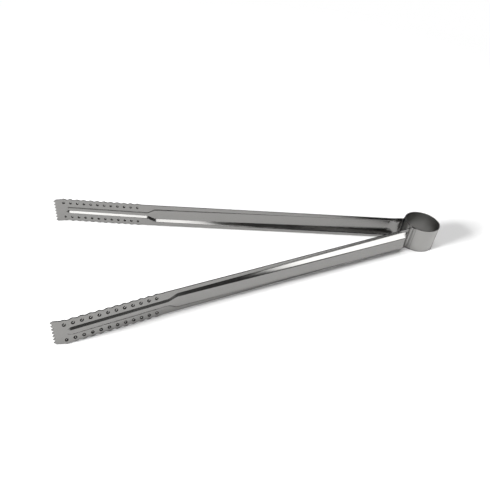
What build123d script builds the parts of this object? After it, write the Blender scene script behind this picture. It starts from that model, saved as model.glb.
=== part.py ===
"""Spring tongs lying on edge: a slit ring strip with two pressed arms facing each other.

Lengths are in millimetres. The ring's axis is the upright Z axis through the origin and the
ring stands on the plane Z = 0. The arms run from the ring towards -X, the rear one on the +Y
side. One arm is drawn along its own line: s runs from the ring to the tip, d runs outwards
from the plane between the arms, and z is measured from the middle of the strip. The front
arm's straight handle is a little shorter than the rear one's.
"""

import os
from math import atan2, cos, radians, sin, sqrt, tan

from build123d import *

MM = 1.0
DEG = 1.0

# Ring strip
ring_outer_r = 16.0 * MM
strip_width = 23.0 * MM
strip_t = 1.0 * MM
slit_angle = 16.0 * DEG
slit_width = 1.9 * MM

# Arm: place and sheet
arm_angle = 11.95 * DEG
plane_offset = 3.35 * MM
sheet_t = 0.8 * MM
bend_r = 0.7 * MM
arm_inset = 0.85 * MM
front_set_back = 3.0 * MM

# Saddle that carries the arm on the ring, feathered towards its free edge
saddle_clearance = 0.15 * MM
saddle_t = 0.8 * MM
saddle_edge_t = 0.2 * MM
saddle_reach = 27.0 * DEG
saddle_fillet = 1.2 * MM
saddle_inset = 0.3 * MM

# Outward channel of the handle, with its ramp at the ring and its shoulder at the grip
neck_plate_run = 1.2 * MM
ramp_run = 9.2 * MM
ramp_foot_depth = 0.05 * MM
ramp_sections = 9
body_length = 216.4 * MM
shoulder_run = 8.5 * MM
shoulder_sections = 5
fold_half_ring = 7.7 * MM
web_half_ring = 5.5 * MM
depth_ring = 5.7 * MM
fold_half_grip = 7.1 * MM
web_half_grip = 4.4 * MM
depth_grip = 1.6 * MM

# Grip plate with its narrow rib, scalloped edges and pierced pips
grip_tilt = 1.5 * DEG
grip_inset = 0.65 * MM
rib_fold_half = 3.5 * MM
rib_web_half = 1.3 * MM
rib_depth = 1.35 * MM
rib_length = 70.2 * MM
rib_rim = 0.5 * MM
plain_run = 4.0 * MM
scallop_depth = 0.8 * MM
pip_count = 12
first_pip_run = 7.8 * MM
pip_overrun = 0.8 * MM
pip_row_inset = 3.65 * MM
pip_height = 0.5 * MM
pip_foot_r = 1.5 * MM
pip_rim_r = 1.1 * MM
pit_r = 1.1 * MM
crater_r = 0.85 * MM
pierced_r = 0.2 * MM

# Toothed tip plate, bent inwards
tip_bend_gap = 1.1 * MM
tip_angle = 17.0 * DEG
tip_run = 7.7 * MM
tip_bend_r = 2.0 * MM
tooth_count = 7
tooth_depth = 1.7 * MM

# Values that follow from the sizes above
saddle_r = ring_outer_r + saddle_clearance
saddle_width = strip_width - 2 * saddle_inset
arm_width = strip_width - 2 * arm_inset
grip_width = strip_width - 2 * grip_inset
ramp_foot_s = saddle_r + saddle_t + neck_plate_run
ramp_top_s = ramp_foot_s + ramp_run
body_end_s = ramp_top_s + body_length
neck_s = body_end_s + shoulder_run
pip_pitch = (rib_length + pip_overrun - first_pip_run) / (pip_count - 1)
lap = sheet_t / 2
big = 2 * strip_width


def smooth(share):
    """Soft step from 0 to 1."""
    return share * share * (3 - 2 * share)


def between(low, high, share):
    return low + (high - low) * share


def mixed(first, second, share):
    """Sizes part of the way from one set to another."""
    return [between(a, b, share) for a, b in zip(first, second)]


def outer_halves(fold, web, depth):
    """Half-widths of the channel's outer face at its fold and at its web."""
    lean = atan2(fold - web, depth)
    shift = sheet_t * (1 / cos(lean) - tan(lean))
    return fold + shift, web + shift


def round_near(face, points, radius):
    """Round the corners of a face that lie at the given points."""
    chosen = [min(face.vertices(), key=lambda v, p=p: (v.X - p[0]) ** 2 + (v.Y - p[1]) ** 2)
              for p in points]
    return fillet(chosen, radius)


def arm_section(half, fold, web, depth):
    """Closed outline of the bent sheet across the arm, from its inner face outwards."""
    fold_out, web_out = outer_halves(fold, web, depth)
    inner = [(-fold, 0), (-web, depth), (web, depth), (fold, 0)]
    outer = [(fold_out, sheet_t), (web_out, sheet_t + depth),
             (-web_out, sheet_t + depth), (-fold_out, sheet_t)]
    face = make_face(Polyline((-half, 0), *inner, (half, 0), (half, sheet_t), *outer,
                              (-half, sheet_t), close=True))
    face = round_near(face, [inner[0], inner[3], outer[1], outer[2]], bend_r + sheet_t)
    return round_near(face, [inner[1], inner[2], outer[0], outer[3]], bend_r)


def across(s, turn=0):
    """Plane across the arm at s, with the downward z as its x and outwards as its y."""
    along = (cos(radians(turn)), sin(radians(turn)), 0)
    return Plane(origin=(s, plane_offset, 0), x_dir=(0, 0, -1), z_dir=along)


def saddle():
    """Curved foot that hugs the ring, with the flat neck plate that runs from it."""
    reach = radians(saddle_reach)
    shift = (saddle_t - saddle_edge_t) / sin(reach)
    foot = Pos(shift * sin(reach), -shift * cos(reach)) * Circle(saddle_r + saddle_edge_t)
    far = 2 * saddle_r
    sector = make_face(Polyline((plane_offset / tan(reach), plane_offset), (far, plane_offset),
                                (far, far * tan(reach)), close=True))
    plate_from = saddle_r / 2
    plate = Pos((plate_from + ramp_foot_s) / 2, plane_offset + sheet_t / 2) * Rectangle(
        ramp_foot_s - plate_from, sheet_t)
    face = (foot & sector) + plate
    lift = plane_offset + sheet_t
    face = round_near(face, [(sqrt((saddle_r + saddle_t) ** 2 - lift * lift), lift)], saddle_fillet)
    face = face - Circle(saddle_r)
    face = max(face.faces(), key=lambda f: f.area)
    return extrude(face, saddle_width / 2, both=True)


def channel_at(s, end):
    """Half-width, fold, web and depth of the handle at s, where its body ends at the given s."""
    share = (s - ramp_foot_s) / (end - ramp_foot_s)
    ring_size = (arm_width / 2, fold_half_ring, web_half_ring, depth_ring)
    grip_size = (arm_width / 2, fold_half_grip, web_half_grip, depth_grip)
    return mixed(ring_size, grip_size, share)


def handle(end):
    """Channel from the ramp's foot at the ring to the end of its straight body."""
    ramp = []
    for k in range(ramp_sections):
        share = k / (ramp_sections - 1)
        s = between(ramp_foot_s, ramp_top_s, share)
        half, fold, web, depth = channel_at(s, end)
        half = between(saddle_width / 2, half, smooth(share))
        depth = between(ramp_foot_depth, depth, smooth(share))
        ramp.append(across(s) * arm_section(half, fold, web, depth))
    last = across(end) * arm_section(*channel_at(end, end))
    return loft(ramp) + loft([ramp[-1], last], ruled=True)


def shoulder():
    """Short stretch where the channel narrows to the rib and the sheet starts to tilt."""
    rib = (arm_width / 2, rib_fold_half, rib_web_half, rib_depth)
    waists = []
    for k in range(shoulder_sections):
        share = k / (shoulder_sections - 1)
        size = mixed(channel_at(body_end_s, body_end_s), rib, smooth(share))
        waists.append(across(between(body_end_s, neck_s, share), grip_tilt * smooth(share))
                      * arm_section(*size))
    return loft(waists)


def rib_end():
    """Rounded closed end of the rib, swept round the end of its middle line."""
    fold_out, web_out = outer_halves(rib_fold_half, rib_web_half, rib_depth)
    rim = rib_fold_half + rib_rim
    top = sheet_t + rib_depth
    face = make_face(Polyline(
        (0, rib_depth), (rib_web_half, rib_depth), (rib_fold_half, 0), (rim, 0), (rim, sheet_t),
        (fold_out, sheet_t), (web_out, top), (0, top), close=True))
    face = round_near(face, [(rib_fold_half, 0), (web_out, top)], bend_r + sheet_t)
    face = round_near(face, [(rib_web_half, rib_depth), (fold_out, sheet_t)], bend_r)
    half_plane = Plane(origin=(0, 0, 0), x_dir=(0, 0, 1), z_dir=(-1, 0, 0))
    return revolve(half_plane * face, Axis((0, 0, 0), (0, 1, 0)), 180 * DEG)


def wave(start, side):
    """Scalloped edge as linked arcs, one swing out and one in for each pip."""
    arcs = []
    half_pitch = pip_pitch / 2
    level = side * grip_width / 2
    for k in range(2 * pip_count - 1):
        from_x = start + k * half_pitch
        swing = side * scallop_depth / 2 * (1 if k % 2 == 0 else -1)
        arcs.append(ThreePointArc((from_x, level), (from_x + half_pitch / 2, level + swing),
                                  (from_x + half_pitch, level)))
    return arcs


def grip_plan(tip_end):
    """Outline of the grip seen square to its plate, from the neck to the teeth."""
    first = first_pip_run - pip_pitch / 4
    last = first + (2 * pip_count - 1) * pip_pitch / 2
    level = grip_width / 2
    arm_half = arm_width / 2
    pitch = grip_width / tooth_count
    teeth = []
    for k in range(tooth_count):
        teeth += [(tip_end, level - (k + 1 / 2) * pitch),
                  (tip_end - tooth_depth, level - (k + 1) * pitch)]
    lines = [
        Polyline((-lap, -arm_half), (-lap, arm_half), (plain_run, arm_half), (first, level)),
        *wave(first, 1),
        Polyline((last, level), (tip_end - tooth_depth, level), *teeth, (last, -level)),
        *wave(first, -1),
        Polyline((first, -level), (plain_run, -arm_half), (-lap, -arm_half)),
    ]
    return make_face(Wire([edge for line in lines for edge in line.edges()]))


def pip(x, z):
    """Pierced pip at x and z: the rim that stands out outwards, and the pits that meet in it."""
    turned = Rot(-90 * DEG, 0, 0)
    align = (Align.CENTER, Align.CENTER, Align.MIN)
    slope = (pit_r - pierced_r) / sheet_t
    flare = (crater_r - pierced_r) / pip_height
    rim = Pos(x, lap, z) * turned * Cone(pip_foot_r, pip_rim_r, lap + pip_height, align=align)
    pit = Pos(x, -lap, z) * turned * Cone(
        pit_r + slope * lap, pierced_r, sheet_t + lap, align=align)
    crater = Pos(x, sheet_t, z) * turned * Cone(
        pierced_r, crater_r + flare * lap, pip_height + lap, align=align)
    return rim, pit + crater


def grip():
    """Grip plate from the neck to the teeth, along its own line from its inner face outwards."""
    rib_centre = rib_length - rib_fold_half
    bend = rib_length + tip_bend_gap
    tip_end = bend + tip_run
    drop = tip_run * tan(radians(tip_angle))
    turn = radians(tip_angle) / 2
    knee = (bend + sheet_t * tan(turn), sheet_t)
    end_t = sheet_t / cos(radians(tip_angle))
    band = make_face(Polyline((rib_centre, 0), (bend, 0), (tip_end, -drop),
                              (tip_end, end_t - drop), knee, (rib_centre, sheet_t), close=True))
    band = round_near(band, [(bend, 0)], tip_bend_r)
    band = round_near(band, [knee], tip_bend_r + sheet_t)
    plate = extrude(band, strip_width, both=True)
    seat = Rot(90 * DEG, 0, 0) * Cylinder(rib_fold_half + rib_rim, big)
    plate = plate - Pos(rib_centre, 0, 0) * seat
    wide = arm_section(strip_width / 2, rib_fold_half, rib_web_half, rib_depth)
    rib = extrude(Plane(origin=(0, 0, 0), x_dir=(0, 0, -1), z_dir=(1, 0, 0)) * wide, rib_centre)
    whole = rib + plate + Pos(rib_centre, 0, 0) * rib_end()
    whole = whole & (Plane.XZ * extrude(grip_plan(tip_end), big, both=True))
    row = grip_width / 2 - pip_row_inset
    for side in (1, -1):
        for k in range(pip_count):
            rim, pits = pip(first_pip_run + k * pip_pitch, side * row)
            whole = whole + rim - pits
    return whole


def arm(set_back):
    """One whole arm along its own line, with its straight handle shortened by the set-back."""
    placed = Pos(neck_s, plane_offset, 0) * Rot(0, 0, grip_tilt) * grip()
    return saddle() + handle(body_end_s - set_back) + Pos(-set_back, 0, 0) * (shoulder() + placed)


def ring():
    """Ring strip with its slit in the neck between the arms."""
    band = Circle(ring_outer_r) - Circle(ring_outer_r - strip_t)
    slit = Rot(0, 0, 180 * DEG + slit_angle) * Pos(ring_outer_r, 0) * Rectangle(
        ring_outer_r, slit_width)
    return extrude(band - slit, strip_width)


def place(shape):
    """Swing an arm to the front side and lift it to the middle of the strip."""
    return Pos(0, 0, strip_width / 2) * Rot(0, 0, 180 * DEG + arm_angle) * shape


os.makedirs("parts", exist_ok=True)
export_step(ring(), "parts/spring_ring.step")
export_step(place(arm(front_set_back)), "parts/front_arm.step")
export_step(mirror(place(arm(0)), about=Plane.XZ), "parts/rear_arm.step")
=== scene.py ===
"""Ring-spring serving tongs in satin stainless steel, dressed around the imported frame."""

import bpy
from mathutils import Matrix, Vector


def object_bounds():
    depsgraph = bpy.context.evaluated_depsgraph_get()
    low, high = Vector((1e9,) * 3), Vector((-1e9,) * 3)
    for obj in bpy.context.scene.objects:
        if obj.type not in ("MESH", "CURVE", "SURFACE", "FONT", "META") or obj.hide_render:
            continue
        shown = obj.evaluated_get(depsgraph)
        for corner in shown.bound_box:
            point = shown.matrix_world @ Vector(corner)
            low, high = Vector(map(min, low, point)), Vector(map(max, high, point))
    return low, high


bl_info = {
    "name": "Ring-spring serving tongs",
    "version": (1, 0, 0),
    "blender": (4, 5, 0),
    "location": "View3D > Sidebar > Tongs",
    "description": "Builds satin steel serving tongs, their finish and a plain studio around them",
    "category": "Object",
}

import math

import bpy
from bpy.props import FloatProperty, FloatVectorProperty, IntProperty, PointerProperty
from bpy.types import Operator, Panel, PropertyGroup
from mathutils import Matrix, Vector

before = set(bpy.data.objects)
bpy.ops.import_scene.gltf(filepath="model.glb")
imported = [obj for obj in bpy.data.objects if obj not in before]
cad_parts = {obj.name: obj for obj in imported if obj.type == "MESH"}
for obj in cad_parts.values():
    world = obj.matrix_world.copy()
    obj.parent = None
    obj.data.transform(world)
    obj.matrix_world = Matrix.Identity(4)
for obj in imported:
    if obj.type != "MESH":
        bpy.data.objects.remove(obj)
CAD_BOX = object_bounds()
STRIP_WIDTH = CAD_BOX[1][2]

MM = 0.001

# Satin steel: how far its tone and its roughness drift, and the fine lines left by brushing.
CLOUDS_PER_METRE = 35.0
CLOUD_DETAIL = 4.0
CLOUD_LOW, CLOUD_HIGH = 0.3, 0.7
TONE_DRIFT = 0.06
SMOOTHER_BY = 0.03
ROUGHER_BY = 0.05
BRUSHING_DETAIL = 3.0
BRUSHING_DEPTH = 0.02 * MM
BRUSHING_STRENGTH = 0.35
FOLD_ANGLE = math.radians(25)

# Painted shade in narrow recesses: its tone, and the open shares at which the recesses are fully
# dark and fully bare.
PAINTED_SHADE_TONE = (0.02, 0.02, 0.02)
RECESS_SAMPLES = 8
DARK_OPEN_SHARE = 0.52
BARE_OPEN_SHARE = 0.82

# Painted shade in the pits: how far its tone drifts, in specks far smaller than a pit.
SPECKS_PER_METRE = 900.0
SPECK_DETAIL = 2.0
PIT_SHADE_DRIFT = 0.4

# Material slots of an arm, in the order in which its materials are added.
PIT_SLOT = 1
FOOT_SLOT = 2

# Studio, in metres from the ring's axis on the floor.
SIDE_LAMP_PLACE = (-4.4, -0.85, 1.4)
OVERHEAD_LAMP_PLACE = (-0.1, 0.0, 2.4)

# Soft panels that the steel mirrors: direction, and the angles at which each starts to fade
# and has faded out.
SOFT_PANELS = (
    ((-0.37, -0.72, 0.59), math.radians(14), math.radians(19)),
    ((0.66, -0.10, 0.74), math.radians(12), math.radians(27)),
)

# Camera of the photograph, fitted to the edges of the tongs: focal length and frame in
# pixels, place in millimetres, and the directions of the frame's right and lower sides.
FRAME_PIXELS = 490
FOCAL_PIXELS = 482.3
SENSOR_WIDTH = 36.0
CAMERA_PLACE = (-277.51, -303.47, 263.13)
CAMERA_RIGHT = (0.96088, -0.25782, 0.10118)
CAMERA_DOWN = (-0.0827, -0.61575, -0.78359)


class TongsFinish(PropertyGroup):
    """Colours and surface of the steel."""

    steel_colour: FloatVectorProperty(
        name="Steel", description="Colour of the satin steel", subtype="COLOR",
        size=3, min=0.0, max=1.0, default=(0.24, 0.237, 0.231))
    # Painted light: the ring's steel is painted this share lighter than the arms', standing in for
    # light on its wall.
    ring_painted_light_share: FloatProperty(
        name="Ring share", description="Brightness of the ring's steel beside the arms'",
        min=0.5, max=2.0, default=1.32)
    steel_roughness: FloatProperty(
        name="Roughness", description="How far the satin finish blurs reflections",
        subtype="FACTOR", min=0.0, max=1.0, default=0.19)
    ring_roughness: FloatProperty(
        name="Ring roughness", description="How far the ring's duller finish blurs reflections",
        subtype="FACTOR", min=0.0, max=1.0, default=0.33)
    grain_width: FloatProperty(
        name="Grain width", description="Spacing of the fine brushed lines across the strip",
        unit="LENGTH", min=0.0001, max=0.01, default=0.4 * MM)
    grain_length: FloatProperty(
        name="Grain length", description="Length of the fine brushed lines",
        unit="LENGTH", min=0.001, max=0.2, default=20 * MM)
    # Painted shade: the dark colour painted inside the pits.
    pit_shade_colour: FloatVectorProperty(
        name="Painted pit shade", description="Colour inside the pips' pits", subtype="COLOR",
        size=3, min=0.0, max=1.0, default=(0.03, 0.029, 0.027))
    # Painted shade: width of the recesses that are darkened in the steel's colour.
    painted_shade_reach: FloatProperty(
        name="Recess reach", description="Width of the recesses that look dark",
        unit="LENGTH", min=0.0001, max=0.01, default=1.6 * MM)
    arm_angle: FloatProperty(
        name="Arm angle", description="Half the angle between the arms", subtype="ANGLE",
        min=0.0, max=1.5, default=math.radians(11.95))
    grip_tilt: FloatProperty(
        name="Grip tilt", description="Angle of the grip beyond the handle", subtype="ANGLE",
        min=0.0, max=1.5, default=math.radians(1.5))
    arm_offset: FloatProperty(
        name="Arm offset", description="Distance of the arm's line from the ring's axis",
        unit="LENGTH", min=0.0, max=0.1, default=3.35 * MM)
    neck_run: FloatProperty(
        name="Neck run", description="Distance of the grip's start from the ring's axis",
        unit="LENGTH", min=0.0, max=1.0, default=252.25 * MM)
    front_set_back: FloatProperty(
        name="Front set-back", description="How much shorter the front handle is",
        unit="LENGTH", min=0.0, max=0.1, default=3 * MM)
    foot_reach: FloatProperty(
        name="Foot reach", description="Distance from the ring's axis that the feet cover",
        unit="LENGTH", min=0.0, max=0.1, default=18.3 * MM)
    first_pip: FloatProperty(
        name="First pip", description="Distance of the first pip from the grip's start",
        unit="LENGTH", min=0.0, max=0.1, default=7.8 * MM)
    pip_pitch: FloatProperty(
        name="Pip pitch", description="Spacing of the pips along the grip",
        unit="LENGTH", min=0.001, max=0.1, default=5.745 * MM)
    pip_count: IntProperty(
        name="Pips", description="Pips in each row", min=1, max=100, default=12)
    pip_row: FloatProperty(
        name="Pip row", description="Distance of each row of pips from the strip's middle",
        unit="LENGTH", min=0.0, max=0.1, default=7.2 * MM)
    pit_radius: FloatProperty(
        name="Pit radius", description="Radius of the dark pits", unit="LENGTH",
        min=0.0, max=0.1, default=1.08 * MM)


class TongsStage(PropertyGroup):
    """Sizes and levels of the plain studio."""

    floor_size: FloatProperty(
        name="Floor", description="Side of the pale floor", unit="LENGTH",
        min=1.0, max=20.0, default=8.0)
    floor_colour: FloatVectorProperty(
        name="Floor colour", description="Colour of the floor", subtype="COLOR",
        size=3, min=0.0, max=1.0, default=(1.0, 1.0, 1.0))
    floor_fade: FloatProperty(
        name="Floor fade", description="Distance at which the floor starts to turn plain white",
        unit="LENGTH", min=0.1, max=10.0, default=0.5)
    backdrop_rise: FloatProperty(
        name="Backdrop rise", description="How far the white backdrop rises past the floor",
        subtype="ANGLE", min=0.0, max=0.7, default=math.radians(6))
    lamp_power: FloatProperty(
        name="Side lamp", description="Power of the soft lamp on the tips' side", unit="POWER",
        min=0.0, max=1000.0, default=460.0)
    overhead_power: FloatProperty(
        name="Overhead lamp", description="Power of the soft lamp overhead", unit="POWER",
        min=0.0, max=500.0, default=18.0)
    lamp_size: FloatProperty(
        name="Lamp size", description="Side of each soft lamp", unit="LENGTH",
        min=0.05, max=3.0, default=1.2)
    fill_level: FloatProperty(
        name="Fill", description="Even light from all around", min=0.0, max=2.0, default=0.34)
    room_level: FloatProperty(
        name="Room", description="Brightness of the dim room in reflections",
        min=0.0, max=2.0, default=0.08)
    panel_level: FloatProperty(
        name="Panels", description="Brightness of the soft panels in reflections",
        min=0.0, max=8.0, default=4.7)


def new_material(name):
    """A node material that holds only its surface shader and its output."""
    made = bpy.data.materials.new(name)
    made.use_nodes = True
    nodes, links = made.node_tree.nodes, made.node_tree.links
    nodes.clear()
    shader = nodes.new("ShaderNodeBsdfPrincipled")
    output = nodes.new("ShaderNodeOutputMaterial")
    links.new(shader.outputs["BSDF"], output.inputs["Surface"])
    return made, nodes, links, shader


def toned(colour, share):
    """The colour, lighter or darker by a share, as a node takes it."""
    return (*(min(1.0, part * share) for part in colour), 1.0)


def noise(nodes, links, place, per_metre, detail):
    """Cloudy noise from 0 to 1."""
    made = nodes.new("ShaderNodeTexNoise")
    made.inputs["Scale"].default_value = per_metre
    made.inputs["Detail"].default_value = detail
    links.new(place, made.inputs["Vector"])
    return made.outputs["Fac"]


def drift(nodes, links, cloud, colour, share):
    """The colour, a share darker to a share lighter as the cloud goes from 0 to 1."""
    tone = nodes.new("ShaderNodeMix")
    tone.data_type = "RGBA"
    tone.inputs["A"].default_value = toned(colour, 1 - share)
    tone.inputs["B"].default_value = toned(colour, 1 + share)
    links.new(cloud, tone.inputs["Factor"])
    return tone.outputs["Result"]


def paint_recess_shade(nodes, links, reach, tone):
    """The tone with painted shade in the narrow recesses of the sheet."""
    recess = nodes.new("ShaderNodeAmbientOcclusion")
    recess.samples = RECESS_SAMPLES
    recess.inputs["Distance"].default_value = reach
    openness = nodes.new("ShaderNodeMapRange")
    openness.inputs["From Min"].default_value = DARK_OPEN_SHARE
    openness.inputs["From Max"].default_value = BARE_OPEN_SHARE
    links.new(recess.outputs["AO"], openness.inputs["Value"])
    shade = nodes.new("ShaderNodeMix")
    shade.data_type = "RGBA"
    shade.inputs["A"].default_value = (*PAINTED_SHADE_TONE, 1.0)
    links.new(openness.outputs["Result"], shade.inputs["Factor"])
    links.new(tone, shade.inputs["B"])
    return shade.outputs["Result"]


def satin_steel(name, finish, roughness, share=1.0, turn=0.0):
    """Satin steel with fine grain along the strip, which is turned about Z by an angle, and painted
    shade in its narrow recesses.
    """
    made, nodes, links, shader = new_material(name)
    shader.inputs["Metallic"].default_value = 1.0
    place = nodes.new("ShaderNodeTexCoord")
    turned = nodes.new("ShaderNodeMapping")
    turned.inputs["Rotation"].default_value = (0.0, 0.0, turn)
    links.new(place.outputs["Object"], turned.inputs["Vector"])

    # Painted light: a share above 1 paints this copy of the steel lighter, as on the ring.
    base = [part * share for part in finish.steel_colour]
    cloud = noise(nodes, links, turned.outputs["Vector"], CLOUDS_PER_METRE, CLOUD_DETAIL)
    tone = drift(nodes, links, cloud, base, TONE_DRIFT)
    # Painted shade: the narrow recesses are darkened in the colour.
    shaded = paint_recess_shade(nodes, links, finish.painted_shade_reach, tone)
    links.new(shaded, shader.inputs["Base Color"])

    rough = nodes.new("ShaderNodeMapRange")
    rough.inputs["From Min"].default_value = CLOUD_LOW
    rough.inputs["From Max"].default_value = CLOUD_HIGH
    rough.inputs["To Min"].default_value = roughness - SMOOTHER_BY
    rough.inputs["To Max"].default_value = roughness + ROUGHER_BY
    links.new(cloud, rough.inputs["Value"])
    links.new(rough.outputs["Result"], shader.inputs["Roughness"])

    drawn_out = nodes.new("ShaderNodeMapping")
    drawn_out.inputs["Scale"].default_value = (
        1 / finish.grain_length, 1 / finish.grain_length, 1 / finish.grain_width)
    links.new(turned.outputs["Vector"], drawn_out.inputs["Vector"])
    grain = noise(nodes, links, drawn_out.outputs["Vector"], 1.0, BRUSHING_DETAIL)
    brushing = nodes.new("ShaderNodeBump")
    brushing.inputs["Strength"].default_value = BRUSHING_STRENGTH
    brushing.inputs["Distance"].default_value = BRUSHING_DEPTH
    links.new(grain, brushing.inputs["Height"])
    links.new(brushing.outputs["Normal"], shader.inputs["Normal"])
    return made


def painted_pit_shade(finish):
    """Painted shade inside the pits: dull and dark, with small shifts of tone."""
    made, nodes, links, shader = new_material("painted_pit_shade")
    shader.inputs["Metallic"].default_value = 0.6
    shader.inputs["Roughness"].default_value = 0.7
    shader.inputs["Specular IOR Level"].default_value = 0.2
    place = nodes.new("ShaderNodeTexCoord")
    specks = noise(nodes, links, place.outputs["Object"], SPECKS_PER_METRE, SPECK_DETAIL)
    tone = drift(nodes, links, specks, finish.pit_shade_colour, PIT_SHADE_DRIFT)
    links.new(tone, shader.inputs["Base Color"])
    return made


def dress(node, material):
    """Give a carried-over CAD node its finish and soft shading on its curved faces."""
    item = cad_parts[node]
    item.data.materials.clear()
    item.data.materials.append(material)
    for face in item.data.polygons:
        face.use_smooth = True
    item.data.set_sharp_from_angle(angle=FOLD_ANGLE)
    return item


def darken_pits(item, pit_shade, finish, side, set_back):
    """Put the painted pit shade on the faces of an arm that lie in the pits of its two rows of pips.
    """
    item.data.materials.append(pit_shade)
    angle = finish.arm_angle
    tilt = angle + finish.grip_tilt
    neck = finish.neck_run - set_back
    start = Vector((-neck * math.cos(angle) + finish.arm_offset * math.sin(angle),
                    neck * math.sin(angle) + finish.arm_offset * math.cos(angle)))
    along = Vector((-math.cos(tilt), math.sin(tilt)))
    for face in item.data.polygons:
        middle = face.center
        from_neck = Vector((middle.x, side * middle.y)) - start
        run = from_neck.dot(along) - finish.first_pip
        nearest = min(max(round(run / finish.pip_pitch), 0), finish.pip_count - 1)
        off_row = abs(middle.z - STRIP_WIDTH / 2) - finish.pip_row
        if math.hypot(run - nearest * finish.pip_pitch, off_row) < finish.pit_radius:
            face.material_index = PIT_SLOT


def match_foot(item, material, finish):
    """Give an arm's foot the steel of the ring that it hugs: duller, and painted lighter than the
    arms'.
    """
    item.data.materials.append(material)
    for face in item.data.polygons:
        if math.hypot(face.center.x, face.center.y) < finish.foot_reach:
            face.material_index = FOOT_SLOT


class TONGS_OT_ring(Operator):
    """Give the spring ring its satin steel, painted lighter than the arms'"""

    bl_idname = "tongs.ring"
    bl_label = "Finish the ring"

    def execute(self, context):
        finish = context.scene.tongs_finish
        dress("spring_ring", satin_steel(
            "ring_steel_painted_lighter", finish, finish.ring_roughness, share=finish.ring_painted_light_share))
        return {"FINISHED"}


class TONGS_OT_arms(Operator):
    """Give both arms their satin steel, with painted shade in the pits and feet that match the ring,
    whose steel is painted lighter
    """

    bl_idname = "tongs.arms"
    bl_label = "Finish the arms"

    def execute(self, context):
        finish = context.scene.tongs_finish
        pit_shade = painted_pit_shade(finish)
        ring_steel_painted_lighter = bpy.data.materials["ring_steel_painted_lighter"]
        for node, side, set_back in (("front_arm", -1, finish.front_set_back), ("rear_arm", 1, 0.0)):
            arm = dress(node, satin_steel(
                node + "_steel", finish, finish.steel_roughness, turn=side * finish.arm_angle))
            darken_pits(arm, pit_shade, finish, side, set_back)
            match_foot(arm, ring_steel_painted_lighter, finish)
        return {"FINISHED"}


class TONGS_OT_stage(Operator):
    """Lay the pale floor and set the lamps, the surroundings and the camera"""

    bl_idname = "tongs.stage"
    bl_label = "Set the stage"

    def execute(self, context):
        stage = context.scene.tongs_stage
        lay_floor(context.scene, stage)
        hang_lamps(context.scene, stage)
        surround(context.scene, stage)
        set_camera(context.scene)
        return {"FINISHED"}


def cover(nodes, links, share, under, over):
    """Shader that turns from one to another by a share from 0 to 1."""
    mix = nodes.new("ShaderNodeMixShader")
    for socket, source in zip(mix.inputs, (share, under, over)):
        links.new(source, socket)
    return mix.outputs["Shader"]


def soft_step(nodes, links, value, start, end):
    """Share that rises softly from 0 to 1 as a value goes from its start to its end."""
    step = nodes.new("ShaderNodeMapRange")
    step.interpolation_type = "SMOOTHSTEP"
    step.inputs["From Min"].default_value = start
    step.inputs["From Max"].default_value = end
    links.new(value, step.inputs["Value"])
    return step.outputs["Result"]


def lay_floor(scene, stage):
    """Pale floor that keeps the shadow near the tongs and turns plain white further off."""
    half = stage.floor_size / 2
    mesh = bpy.data.meshes.new("floor")
    mesh.from_pydata([(-half, -half, 0), (half, -half, 0), (half, half, 0), (-half, half, 0)],
                     [], [(0, 1, 2, 3)])
    floor = bpy.data.objects.new("floor", mesh)
    scene.collection.objects.link(floor)

    made, nodes, links, shader = new_material("pale_floor")
    shader.inputs["Base Color"].default_value = (*stage.floor_colour, 1.0)
    shader.inputs["Roughness"].default_value = 0.9
    shader.inputs["Specular IOR Level"].default_value = 0.0
    spot = nodes.new("ShaderNodeTexCoord")
    distance = nodes.new("ShaderNodeVectorMath")
    distance.operation = "LENGTH"
    links.new(spot.outputs["Object"], distance.inputs[0])
    afar = soft_step(
        nodes, links, distance.outputs["Value"], stage.floor_fade, 2 * stage.floor_fade)
    plain = nodes.new("ShaderNodeEmission")
    plain.inputs["Color"].default_value = (*stage.floor_colour, 1.0)
    ground = cover(nodes, links, afar, shader.outputs["BSDF"], plain.outputs["Emission"])
    output = next(node for node in nodes if node.type == "OUTPUT_MATERIAL")
    links.new(ground, output.inputs["Surface"])
    floor.data.materials.append(made)


def hang_lamps(scene, stage):
    """Soft lamp from the tips' side, which throws the shadow past the ring, and one overhead."""
    for name, place, power in (
            ("side_lamp", SIDE_LAMP_PLACE, stage.lamp_power),
            ("overhead_lamp", OVERHEAD_LAMP_PLACE, stage.overhead_power)):
        lamp = bpy.data.lights.new(name, "AREA")
        lamp.size = stage.lamp_size
        lamp.energy = power
        item = bpy.data.objects.new(name, lamp)
        item.location = place
        item.rotation_euler = Vector(place).to_track_quat("Z", "Y").to_euler()
        item.visible_glossy = False
        scene.collection.objects.link(item)


def background(nodes, level):
    """Even white surroundings of a given brightness."""
    made = nodes.new("ShaderNodeBackground")
    made.inputs["Color"].default_value = (1.0, 1.0, 1.0, 1.0)
    made.inputs["Strength"].default_value = level
    return made.outputs["Background"]


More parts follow.
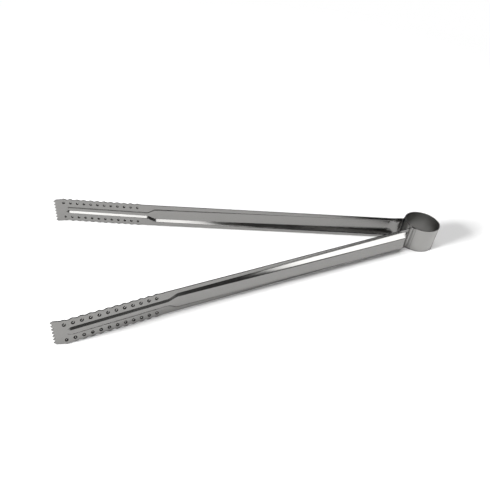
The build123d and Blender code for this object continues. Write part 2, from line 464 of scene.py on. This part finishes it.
def surround(scene, stage):
    """World: white behind the object and low down in its reflections, which show a dim room
    with two soft panels higher up. All else gets the even fill."""
    world = bpy.data.worlds.new("studio")
    scene.world = world
    world.use_nodes = True
    nodes, links = world.node_tree.nodes, world.node_tree.links
    nodes.clear()
    white = background(nodes, 1.0)
    panel = background(nodes, stage.panel_level)

    place = nodes.new("ShaderNodeTexCoord")
    mirrored = background(nodes, stage.room_level)
    for toward, edge, end in SOFT_PANELS:
        nearness = nodes.new("ShaderNodeVectorMath")
        nearness.operation = "DOT_PRODUCT"
        nearness.inputs[1].default_value = Vector(toward).normalized()
        links.new(place.outputs["Generated"], nearness.inputs[0])
        share = soft_step(nodes, links, nearness.outputs["Value"], math.cos(end), math.cos(edge))
        mirrored = cover(nodes, links, share, mirrored, panel)
    height = nodes.new("ShaderNodeSeparateXYZ")
    links.new(place.outputs["Generated"], height.inputs["Vector"])
    rise = stage.backdrop_rise
    low = soft_step(nodes, links, height.outputs["Z"], math.sin(2 * rise), math.sin(rise))
    mirrored = cover(nodes, links, low, mirrored, white)

    path = nodes.new("ShaderNodeLightPath")
    fill = background(nodes, stage.fill_level)
    lit = cover(nodes, links, path.outputs["Is Glossy Ray"], fill, mirrored)
    looked_at = nodes.new("ShaderNodeMath")
    looked_at.operation = "MAXIMUM"
    links.new(path.outputs["Is Camera Ray"], looked_at.inputs[0])
    links.new(path.outputs["Is Transmission Ray"], looked_at.inputs[1])
    seen = cover(nodes, links, looked_at.outputs["Value"], lit, white)
    output = nodes.new("ShaderNodeOutputWorld")
    links.new(seen, output.inputs["Surface"])


def set_camera(scene):
    """Camera at the photograph's angle, in the frame of the object."""
    data = bpy.data.cameras.new("camera")
    data.sensor_width = SENSOR_WIDTH
    data.lens = FOCAL_PIXELS / FRAME_PIXELS * SENSOR_WIDTH
    data.clip_start = 0.01
    data.clip_end = 50.0
    right = Vector(CAMERA_RIGHT)
    down = Vector(CAMERA_DOWN)
    ahead = right.cross(down)
    turn = Matrix((right, -down, -ahead)).transposed()
    camera = bpy.data.objects.new("camera", data)
    camera.matrix_world = Matrix.Translation(Vector(CAMERA_PLACE) * MM) @ turn.to_4x4()
    scene.collection.objects.link(camera)
    scene.camera = camera
    scene.view_settings.view_transform = "Standard"


class TONGS_PT_panel(Panel):
    """Sidebar panel that lists the sizes, the colours and the operators"""

    bl_idname = "TONGS_PT_panel"
    bl_label = "Serving tongs"
    bl_space_type = "VIEW_3D"
    bl_region_type = "UI"
    bl_category = "Tongs"

    def draw(self, context):
        layout = self.layout
        for group in (context.scene.tongs_finish, context.scene.tongs_stage):
            box = layout.box()
            for name in group.bl_rna.properties.keys():
                if name not in ("rna_type", "name"):
                    box.prop(group, name)
        for operator in OPERATORS:
            layout.operator(operator.bl_idname)


OPERATORS = (TONGS_OT_ring, TONGS_OT_arms, TONGS_OT_stage)
CLASSES = (TongsFinish, TongsStage, *OPERATORS, TONGS_PT_panel)


def register():
    for item in CLASSES:
        bpy.utils.register_class(item)
    bpy.types.Scene.tongs_finish = PointerProperty(type=TongsFinish)
    bpy.types.Scene.tongs_stage = PointerProperty(type=TongsStage)


def unregister():
    del bpy.types.Scene.tongs_stage
    del bpy.types.Scene.tongs_finish
    for item in reversed(CLASSES):
        bpy.utils.unregister_class(item)


def main():
    register()
    bpy.ops.tongs.ring()
    bpy.ops.tongs.arms()
    bpy.ops.tongs.stage()


if __name__ == "__main__":
    main()
